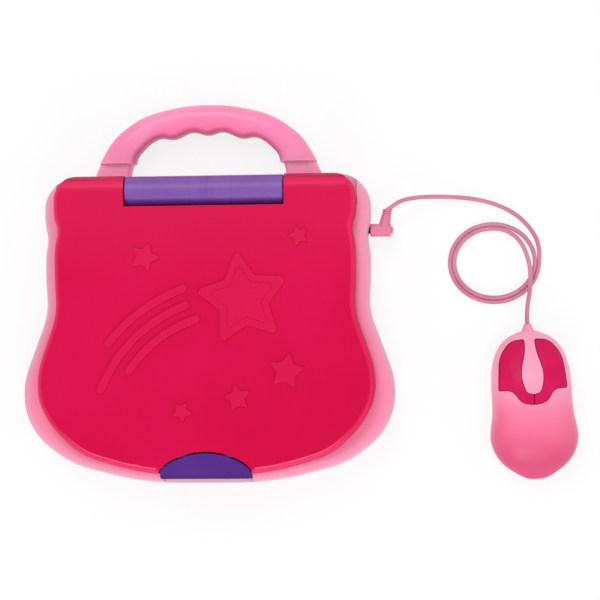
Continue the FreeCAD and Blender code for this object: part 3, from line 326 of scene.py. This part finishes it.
def mouseFinish():
    look = dict(body=colour(249, 124, 163), deep=colour(245, 114, 153), pale=colour(252, 164, 192),
                palm=colour(219, 74, 119), groove=colour(190, 88, 120),
                drift=30, grain=1500, scuff=90, relief=0.00003, rough=0.32, specular=0.3,
                topZ=(0.0015, 0.0060), noseY=(-0.060, -0.030), palmY=(-0.084, -0.052),
                seamLine=(0.009, 0.00018, 0.00008))

    def shade(finish, place, base):
        y, z = finish.split(place)[1:]
        # painted light and shade: the pink is pale at the nose and deepens towards the palm
        top = finish.fade(z, *look["topZ"])
        base = finish.mix(top * finish.fade(y, *look["noseY"]), base, look["pale"])
        base = finish.mix(top * (1 - finish.fade(y, *look["palmY"])), base, look["palm"])
        return finish.mix(0.5 * finish.band(z, *look["seamLine"]), base, look["groove"])

    return mouldedPlastic("mouseFinish", look, shade)


def cordFinish():
    look = dict(body=colour(214, 136, 162), deep=colour(202, 122, 150),
                drift=60, grain=1200, scuff=200, relief=0.00004, rough=0.36, specular=0.4)
    return mouldedPlastic("cordFinish", look)


def plugFinish():
    look = dict(body=colour(228, 130, 162), deep=colour(218, 118, 150),
                drift=80, grain=1400, scuff=200, relief=0.00004, rough=0.36, specular=0.4)
    return mouldedPlastic("plugFinish", look)


def blackPlasticFinish():
    look = dict(body=colour(34, 32, 36), deep=colour(26, 24, 28),
                drift=70, grain=1500, scuff=150, relief=0.00004, rough=0.42, specular=0.4)
    return mouldedPlastic("blackPlasticFinish", look)


def rubberFinish():
    look = dict(body=colour(206, 204, 208), deep=colour(192, 190, 196),
                drift=50, grain=900, scuff=120, relief=0.00005, rough=0.55, specular=0.3)
    return mouldedPlastic("rubberFinish", look)


def bezelFinish():
    look = dict(body=colour(246, 240, 243), deep=colour(240, 232, 236), line=colour(232, 92, 146),
                drift=20, grain=1300, scuff=70, relief=0.00004, rough=0.4, specular=0.35,
                # half sizes of the printed frame, inside and outside, about the display's middle
                middle=0.004, within=(0.0536, 0.0336), beyond=(0.0554, 0.0354), soft=0.0001)

    def shade(finish, place, base):
        x, y = finish.split(place)[:2]

        def outside(half):
            # 1 where either distance is past its limit
            away = [finish.fade(abs(distance), limit - look["soft"], limit + look["soft"])
                    for distance, limit in zip((x, y - look["middle"]), half)]
            return finish.fade(away[0] + away[1], 0.4, 0.6)

        # pink line printed round the display
        return finish.mix(outside(look["within"]) - outside(look["beyond"]), base, look["line"])

    return mouldedPlastic("bezelFinish", look, shade)


def steelFinish(name="steelFinish"):
    look = dict(bright=colour(196, 196, 200), dull=colour(168, 170, 176), rough=0.22,
                brushStretch=(0.05, 1.0, 1.0), brushScale=2600, relief=0.00002)
    finish = Finish(name)
    grain = finish.stretch(finish.place(), look["brushStretch"])
    brushed = finish.noise(grain, look["brushScale"], 3)
    return finish.surface({"Base Color": finish.mix(brushed, look["bright"], look["dull"]),
                           "Metallic": 1.0, "Roughness": look["rough"] + 0.2 * brushed,
                           "Normal": finish.bump(brushed, look["relief"])})


def boardFinish():
    look = dict(resist=colour(34, 104, 62), track=colour(66, 142, 84), pad=colour(206, 182, 120),
                lanePitch=0.0032, laneLine=(0.0004, 0.00025, 0.00008), relief=0.00004,
                breakScale=120, breakSpan=(0.47, 0.5), padScale=160.0, padSpan=(0.14, 0.18))
    finish = Finish("boardFinish")
    place = finish.place()
    y = finish.split(place)[1]
    # copper tracks under the green resist, and a few pads
    lane = finish.band(abs(y % look["lanePitch"] - look["lanePitch"] / 2), *look["laneLine"])
    tracks = lane * finish.fade(finish.noise(place, look["breakScale"], 1), *look["breakSpan"])
    pads = 1 - finish.fade(finish.cells(place, look["padScale"]), *look["padSpan"])
    tint = finish.mix(pads, finish.mix(tracks, look["resist"], look["track"]), look["pad"])
    return finish.surface({"Base Color": tint, "Metallic": 0.7 * pads,
                           "Roughness": 0.4 - 0.12 * pads,
                           "Normal": finish.bump(tracks, look["relief"])})


def cellFinish():
    look = dict(wrap=colour(44, 46, 58), band=colour(200, 150, 70), cap=colour(190, 192, 196),
                smudge=colour(120, 120, 130), smudgeScale=90,
                bandX=(0.0130, 0.0132), capX=(0.0199, 0.0201))
    finish = Finish("cellFinish")
    place = finish.place()
    x = finish.split(place)[0]
    cap = finish.fade(x, *look["capX"])
    smudge = finish.noise(place, look["smudgeScale"], 2)
    tint = finish.mix(finish.fade(x, *look["bandX"]), look["wrap"], look["band"])
    tint = finish.mix(0.15 * smudge, finish.mix(cap, tint, look["cap"]), look["smudge"])
    return finish.surface({"Base Color": tint, "Metallic": 0.9 * cap,
                           "Roughness": 0.3 + 0.1 * smudge})


def speakerFinish():
    look = dict(hole=colour(40, 38, 42), thread=colour(70, 68, 74), scale=1400.0, relief=0.0001)
    finish = Finish("speakerFinish")
    weave = finish.cells(finish.place(), look["scale"])
    return finish.surface({"Base Color": finish.mix(weave, look["hole"], look["thread"]),
                           "Roughness": 0.6 + 0.2 * weave,
                           "Normal": finish.bump(weave, look["relief"])})


def clearFinish():
    look = dict(body=colour(250, 252, 252), haze=colour(240, 244, 246), hazeScale=300, bend=1.45)
    finish = Finish("clearFinish")
    haze = finish.noise(finish.place(), look["hazeScale"], 3)
    return finish.surface({"Base Color": finish.mix(haze, look["body"], look["haze"]),
                           "Roughness": 0.03 + 0.06 * haze, "Transmission Weight": 1.0,
                           "IOR": look["bend"]})


def displayFinish():
    look = dict(gap=colour(150, 164, 148), dot=colour(136, 150, 136), frame=colour(126, 138, 128),
                pitch=0.0018, dotShare=0.42, softShare=0.04,
                middle=0.004, half=(0.0455, 0.0255), soft=0.0002)
    finish = Finish("displayFinish")
    x, y = finish.split(finish.place())[:2]
    pitch = look["pitch"]
    dotLine = (pitch / 2, pitch * look["dotShare"], pitch * look["softShare"])
    grid = finish.band(x % pitch, *dotLine) * finish.band(y % pitch, *dotLine)
    inside = finish.band(x, 0.0, look["half"][0], look["soft"])
    inside = inside * finish.band(y, look["middle"], look["half"][1], look["soft"])
    tint = finish.mix(grid * inside, look["gap"], look["dot"])
    return finish.surface({"Base Color": finish.mix(inside, look["frame"], tint),
                           "Roughness": 0.3 + 0.1 * grid})


def legendFinish(name, body, deep):
    look = dict(body=body, deep=deep,
                drift=300, grain=2200, scuff=200, relief=0.00002, rough=0.4, specular=0.35)
    return mouldedPlastic(name, look)


finishes = {
    "case_pink": caseFinish(), "handle_pink": handleFinish(), "lid_magenta": lidFinish(),
    "hinge_purple": barrelFinish(), "latch_purple": latchFinish(), "key_white": whiteKeyFinish(),
    "key_purple": purpleKeyFinish(), "button_magenta": buttonFinish(), "mouse_pink": mouseFinish(),
    "cord_pink": cordFinish(), "plug_pink": plugFinish(), "steel": steelFinish(),
    "switch_metal": steelFinish("switchMetalFinish"), "circuit_board": boardFinish(),
    "dome_rubber": rubberFinish(), "speaker_black": speakerFinish(), "cell_wrap": cellFinish(),
    "jack_black": blackPlasticFinish(), "bezel_white": bezelFinish(),
    "display_clear": clearFinish(), "display_grey": displayFinish(),
}
inkFinish = legendFinish("inkFinish", colour(128, 74, 160), colour(118, 64, 150))
paleInkFinish = legendFinish("paleInkFinish", colour(250, 240, 246), colour(242, 230, 238))
print("finishes made:", len(finishes) + 2)


def dressNodes():
    for part in frame["record"]["subparts"]:
        mesh = nodes[part["node"]].data
        mesh.materials.clear()
        mesh.materials.append(finishes[part["material_slot"]])


dressNodes()


# Helpers for new pieces

def addPiece(name, mesh, body, slot, material=None):
    piece = bpy.data.objects.new(name, mesh)
    bpy.context.scene.collection.objects.link(piece)
    mesh.materials.clear()
    mesh.materials.append(material or finishes[slot])
    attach(piece, body)
    return piece


def meshFrom(name, build, smooth=True):
    shape = bmesh.new()
    build(shape)
    bmesh.ops.recalc_face_normals(shape, faces=shape.faces)
    mesh = bpy.data.meshes.new(name)
    shape.to_mesh(mesh)
    shape.free()
    for face in mesh.polygons:
        face.use_smooth = smooth
    return mesh


def turnProfile(shape, profile, start, along, sides=40):
    # turns (distance, radius) pairs round the line from start in the direction along
    along = Vector(along).normalized()
    side = along.orthogonal().normalized()
    other = along.cross(side)
    rings = []
    for distance, radius in profile:
        middle = Vector(start) + along * distance
        ring = []
        for step in range(sides):
            angle = 2 * math.pi * step / sides
            out = side * math.cos(angle) + other * math.sin(angle)
            ring.append(shape.verts.new(middle + out * radius))
        rings.append(ring)
    for first, second in zip(rings, rings[1:]):
        for step in range(sides):
            follow = (step + 1) % sides
            shape.faces.new((first[step], first[follow], second[follow], second[step]))
    shape.faces.new(rings[0])
    shape.faces.new(list(reversed(rings[-1])))


def raisePlate(shape, outline, low, high):
    # a thin plate with this outline, from height low to high
    bottom = [shape.verts.new((x, y, low)) for x, y in outline]
    top = [shape.verts.new((x, y, high)) for x, y in outline]
    shape.faces.new(top)
    shape.faces.new(list(reversed(bottom)))
    for step in range(len(outline)):
        follow = (step + 1) % len(outline)
        shape.faces.new((bottom[step], bottom[follow], top[follow], top[step]))


# Camera

cameraSet = dict(place=(0.1265, 0.0, 1.025), aim=(0.0569, 0.0174, 0.013), lens=98.2, sensor=36,
                 roll=-0.55)


def makeCamera():
    data = bpy.data.cameras.new("camera")
    data.lens = cameraSet["lens"]
    data.sensor_width = cameraSet["sensor"]
    camera = bpy.data.objects.new("camera", data)
    bpy.context.scene.collection.objects.link(camera)
    back = (Vector(cameraSet["place"]) - Vector(cameraSet["aim"])).normalized()
    right = Vector((0, 1, 0)).cross(back).normalized()
    turn = Matrix((right, back.cross(right), back)).transposed().to_4x4()
    roll = Matrix.Rotation(math.radians(cameraSet["roll"]), 4, "Z")
    camera.matrix_world = Matrix.Translation(cameraSet["place"]) @ turn @ roll
    bpy.context.scene.camera = camera


makeCamera()


# Cord

cordSet = dict(
    thick=2.7 * mm, floor=1.4 * mm, length=0.456, roundSteps=6, runSteps=8,
    # from the plug to the coil
    lead=((0.1136, 0.0737, 0.0130), (0.1179, 0.0777, 0.0130), (0.1284, 0.0802, 0.0102),
          (0.1415, 0.0809, 0.0062), (0.1560, 0.0805, 0.0028), (0.1695, 0.0788, 0.0014),
          (0.1830, 0.0744, 0.0014), (0.1942, 0.0674, 0.0014), (0.2026, 0.0572, 0.0014),
          (0.2055, 0.0486, 0.0014)),
    # loose turns on the table, the second one leaning on the first
    coilMiddle=(0.1769, 0.0399), coilHalf=(0.0284, 0.0257), turns=1.75, coilPoints=43,
    pitch=2.5 * mm, draw=0.1 * mm, lean=0.8 * mm, leanFrom=0.55, leanOver=0.4,
    # over the turns and up to the mouse
    tail=((0.1836, 0.0600, 0.0023), (0.1894, 0.0570, 0.0025), (0.1946, 0.0512, 0.0032),
          (0.1976, 0.0436, 0.0052), (0.1993, 0.0350, 0.0076), (0.1992, 0.0230, 0.0079),
          (0.1966, 0.0093, 0.0070), (0.1970, 0.0013, 0.0070)),
)


def coilRoute():
    points = []
    for step in range(cordSet["coilPoints"]):
        turn = cordSet["turns"] * step / (cordSet["coilPoints"] - 1)
        shrink = cordSet["pitch"] * turn + cordSet["draw"] * turn ** 2
        angle = 2 * math.pi * turn
        x = cordSet["coilMiddle"][0] + (cordSet["coilHalf"][0] - shrink) * math.cos(angle)
        y = cordSet["coilMiddle"][1] - (cordSet["coilHalf"][1] - shrink) * math.sin(angle)
        leaning = min(1, max(0, (turn - cordSet["leanFrom"]) / cordSet["leanOver"]))
        points.append((x, y, cordSet["floor"] + cordSet["lean"] * leaning))
    return points


def makeCord():
    route = [*cordSet["lead"], *coilRoute(), *cordSet["tail"]]
    route.reverse()  # the cord leaves the mouse and ends in the plug
    curve = bpy.data.curves.new("mouseCord", "CURVE")
    curve.dimensions = "3D"
    curve.bevel_depth = cordSet["thick"] / 2
    curve.bevel_resolution = cordSet["roundSteps"]
    curve.resolution_u = cordSet["runSteps"]
    curve.use_fill_caps = True
    spline = curve.splines.new("NURBS")
    spline.points.add(len(route) - 1)
    for point, place in zip(spline.points, route):
        point.co = (*place, 1.0)
    spline.order_u = 3
    spline.use_endpoint_u = True
    cord = addPiece("mouse_cord", curve, "mouse", "cord_pink")
    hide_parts("mouse_cord_lead", "mouse_cord_coil", "mouse_cord_tail")
    return cord, route


mouseCord, cordRoute = makeCord()
print("cord laid:", len(cordRoute), "points")


# Plug: a black collar behind the pin

plugSet = dict(start=(0.0983, 0.0600, 0.0130), length=2.6 * mm, radius=2.2 * mm, edge=0.25 * mm)


def makePlugCollar():
    radius, edge, length = plugSet["radius"], plugSet["edge"], plugSet["length"]
    profile = ((0.0, radius - edge), (edge, radius),
               (length - edge, radius), (length, radius - edge))
    collar = meshFrom("plugCollar",
                      lambda shape: turnProfile(shape, profile, plugSet["start"], (1, 0, 0)))
    return addPiece("plug_collar", collar, "mouse", "jack_black")


plugCollar = makePlugCollar()


# Strain relief on the mouse: a ribbed cone in place of the plain one

reliefSet = dict(tip=(0.1970, 0.0013, 0.0070), turn=2.8, length=4.5 * mm, root=4.0 * mm,
                 end=2.2 * mm, mouth=1.5 * mm, ribs=3,
                 # each rib: how far along it, and how far off the cone
                 rib=((0.15, 0.2 * mm), (0.6, 0.0), (0.68, -0.4 * mm), (0.98, -0.45 * mm)))


def makeStrainRelief():
    turn = math.radians(reliefSet["turn"])
    axis = Vector((-math.sin(turn), math.cos(turn), 0))
    start = Vector(reliefSet["tip"]) - axis * reliefSet["length"]
    profile = [(0.0, reliefSet["root"])]
    step = reliefSet["length"] / reliefSet["ribs"]
    for rib in range(reliefSet["ribs"]):
        share = (rib + 0.5) / reliefSet["ribs"]
        radius = reliefSet["root"] + (reliefSet["end"] - reliefSet["root"]) * share
        profile += [((rib + along) * step, radius + out) for along, out in reliefSet["rib"]]
    profile.append((reliefSet["length"], reliefSet["mouth"]))
    relief = meshFrom("strainRelief", lambda shape: turnProfile(shape, profile, start, axis))
    piece = addPiece("mouse_strain_relief", relief, "mouse", "mouse_pink")
    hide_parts("mouse_cord_grommet")
    return piece


strainRelief = makeStrainRelief()
print("plug and strain relief made")


# Legends on the keys: letters and digits, arrows, and plain figures on the round buttons

legendSet = dict(size=6.2 * mm, arrow=2.6 * mm, lift=0.02 * mm, thick=0.08 * mm,
                 rows=("1234567890", "QWERTYUIOP", "ASDFGHJKL?", "ZXCVBNM,.!"),
                 pitch=14.0 * mm)


def letterMesh(letter, x, y, z, size):
    text = bpy.data.curves.new("letter", "FONT")
    text.body = letter
    text.size = size
    text.align_x = "CENTER"
    text.align_y = "CENTER"
    text.extrude = legendSet["thick"] / 2
    text.resolution_u = 4
    holder = bpy.data.objects.new("letter", text)
    holder.location = (x, y, z)
    bpy.context.scene.collection.objects.link(holder)
    bpy.context.view_layer.update()
    graph = bpy.context.evaluated_depsgraph_get()
    mesh = bpy.data.meshes.new_from_object(holder.evaluated_get(graph))
    mesh.transform(holder.matrix_world)
    bpy.data.objects.remove(holder)
    return mesh


def joinMeshes(name, meshes):
    shape = bmesh.new()
    for mesh in meshes:
        shape.from_mesh(mesh)
        bpy.data.meshes.remove(mesh)
    joined = bpy.data.meshes.new(name)
    shape.to_mesh(joined)
    shape.free()
    return joined


def makeLetters():
    for index, letters in enumerate(legendSet["rows"]):
        row = f"key_row_{index + 1}"
        low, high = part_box(row)
        y = (low.y + high.y) / 2
        z = high.z + legendSet["lift"]
        meshes = []
        for column, letter in enumerate(letters):
            x = (column - (len(letters) - 1) / 2) * legendSet["pitch"]
            meshes.append(letterMesh(letter, x, y, z, legendSet["size"]))
        name = f"{row}_letters"
        addPiece(name, joinMeshes(name, meshes), row, "key_purple", inkFinish)


def inkMesh(name, outline, top):
    low = top + legendSet["lift"] - legendSet["thick"] / 2
    high = low + legendSet["thick"]
    return meshFrom(name, lambda shape: raisePlate(shape, outline, low, high), False)


def arrowOutline(x, y, reach, turn):
    points = ((1.0, 0.0), (0.0, 0.8), (0.0, 0.28), (-0.9, 0.28),
              (-0.9, -0.28), (0.0, -0.28), (0.0, -0.8))
    cosine, sine = math.cos(math.radians(turn)), math.sin(math.radians(turn))
    return [(x + reach * (a * cosine - b * sine), y + reach * (a * sine + b * cosine))
            for a, b in points]


def makeArrows():
    turns = {"arrow_key_right": 0, "arrow_key_up": 90, "arrow_key_left": 180, "arrow_key_down": 270,
             "enter_key": 180}
    for key, turn in turns.items():
        low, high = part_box(key)
        x, y = (low.x + high.x) / 2, (low.y + high.y) / 2
        mesh = inkMesh(f"{key}_mark", arrowOutline(x, y, legendSet["arrow"], turn), high.z)
        addPiece(f"{key}_mark", mesh, key, "key_white", paleInkFinish)


def regularOutline(x, y, corners, reach, inner=None, turn=90):
    # a polygon, or a star when inner is given
    count = corners * (2 if inner else 1)
    points = []
    for step in range(count):
        angle = math.radians(turn) + 2 * math.pi * step / count
        radius = inner if inner and step % 2 else reach
        points.append((x + radius * math.cos(angle), y + radius * math.sin(angle)))
    return points


def makeButtonFigures():
    figures = {1: dict(corners=32, reach=2.4 * mm), 2: dict(corners=3, reach=3.0 * mm),
               3: dict(corners=4, reach=3.0 * mm, turn=45),
               4: dict(corners=5, reach=3.2 * mm, inner=1.5 * mm)}
    for index, figure in figures.items():
        button = f"activity_button_{index}"
        low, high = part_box(button)
        outline = regularOutline((low.x + high.x) / 2, (low.y + high.y) / 2, **figure)
        mesh = inkMesh(f"{button}_figure", outline, high.z)
        addPiece(f"{button}_figure", mesh, button, "key_white", paleInkFinish)


makeLetters()
makeArrows()
makeButtonFigures()
print("legends made")


# Crosses in the screw heads

crossSet = dict(reach=1.7 * mm, half=0.32 * mm, thick=0.06 * mm, weld=1e-6)


def crossOutline(x, y):
    r, h = crossSet["reach"], crossSet["half"]
    points = ((h, r), (h, h), (r, h), (r, -h), (h, -h), (h, -r),
              (-h, -r), (-h, -h), (-r, -h), (-r, h), (-h, h), (-h, r))
    return [(x + a, y + b) for a, b in points]


def screwPlaces(node):
    # middle of each separate head, from the node's own mesh
    shape = bmesh.new()
    shape.from_mesh(nodes[node].data)
    bmesh.ops.remove_doubles(shape, verts=shape.verts, dist=crossSet["weld"])
    places, seen = [], set()
    for vert in shape.verts:
        if vert in seen:
            continue
        group, queue = [], [vert]
        seen.add(vert)
        while queue:
            here = queue.pop()
            group.append(here.co.copy())
            for edge in here.link_edges:
                other = edge.other_vert(here)
                if other not in seen:
                    seen.add(other)
                    queue.append(other)
        xs, ys, zs = zip(*group)
        places.append(((min(xs) + max(xs)) / 2, (min(ys) + max(ys)) / 2, min(zs)))
    shape.free()
    return places


def makeScrewCrosses():
    riders = {"case_screws": "base", "battery_door_screw": "base", "lid_screws": "lid",
              "mouse_screws": "mouse"}
    for node, body in riders.items():
        def build(shape):
            half = crossSet["thick"] / 2
            for x, y, z in screwPlaces(node):
                raisePlate(shape, crossOutline(x, y), z - half, z + half)
        name = f"{node}_crosses"
        addPiece(name, meshFrom(name, build, False), body, "jack_black")


makeScrewCrosses()
print("screw heads made")


# Floor and light

stageSet = dict(size=8.0, drop=0.1 * mm, floor=colour(250, 250, 250), white=0.8, sky=0.66)
lampSet = {
    "keyLamp": dict(place=(-0.2, 0.85, 1.15), aim=(0.06, 0.0, 0.02), size=0.7, power=5.5),
    "fillLamp": dict(place=(0.9, -0.5, 1.0), aim=(0.06, 0.0, 0.02), size=1.0, power=2.5),
    "frontLamp": dict(place=(0.05, -0.95, 0.6), aim=(0.05, -0.05, 0.02), size=0.6, power=3.2),
}


def seenDirectly(finish):
    # 1 for what the camera, a mirror or glass shows
    rays = finish.node("ShaderNodeLightPath")
    outputs = rays.socket.node.outputs
    camera, glossy, clear = [Tap(finish, outputs[name]) for name in
                             ("Is Camera Ray", "Is Glossy Ray", "Is Transmission Ray")]
    return finish.fade(camera + glossy + clear, 0.0, 1.0)


def makeFloor():
    half = stageSet["size"] / 2
    corners = ((-half, -half), (half, -half), (half, half), (-half, half))
    mesh = bpy.data.meshes.new("floor")
    mesh.from_pydata([(x, y, -stageSet["drop"]) for x, y in corners], [], [(0, 1, 2, 3)])
    floor = bpy.data.objects.new("floor", mesh)
    bpy.context.scene.collection.objects.link(floor)
    finish = Finish("floorFinish")
    paper = finish.node("ShaderNodeBsdfDiffuse", None, {"Color": stageSet["floor"]})
    white = finish.node("ShaderNodeEmission", None, {"Color": (1, 1, 1, 1), "Strength": 1.0})
    share = stageSet["white"] * seenDirectly(finish)
    both = finish.node("ShaderNodeMixShader", None, {0: share, 1: paper, 2: white})
    finish.node("ShaderNodeOutputMaterial", None, {"Surface": both})
    mesh.materials.append(finish.material)


def makeSky():
    world = bpy.data.worlds.new("sky")
    bpy.context.scene.world = world
    world.use_nodes = True
    finish = Finish("sky", world.node_tree)
    soft, white = [finish.node("ShaderNodeBackground", None,
                               {"Color": (1, 1, 1, 1), "Strength": strength})
                   for strength in (stageSet["sky"], 1.0)]
    both = finish.node("ShaderNodeMixShader", None, {0: seenDirectly(finish), 1: soft, 2: white})
    finish.node("ShaderNodeOutputWorld", None, {"Surface": both})


def makeLamp(name, place, aim, size, power):
    data = bpy.data.lights.new(name, "AREA")
    data.shape = "DISK"
    data.size = size
    data.energy = power
    lamp = bpy.data.objects.new(name, data)
    bpy.context.scene.collection.objects.link(lamp)
    lamp.location = place
    lamp.rotation_euler = (Vector(aim) - Vector(place)).to_track_quat("-Z", "Y").to_euler()


makeFloor()
makeSky()
for lampName, lampLook in lampSet.items():
    makeLamp(lampName, **lampLook)
bpy.context.scene.view_settings.view_transform = "Standard"

print("scene ready")
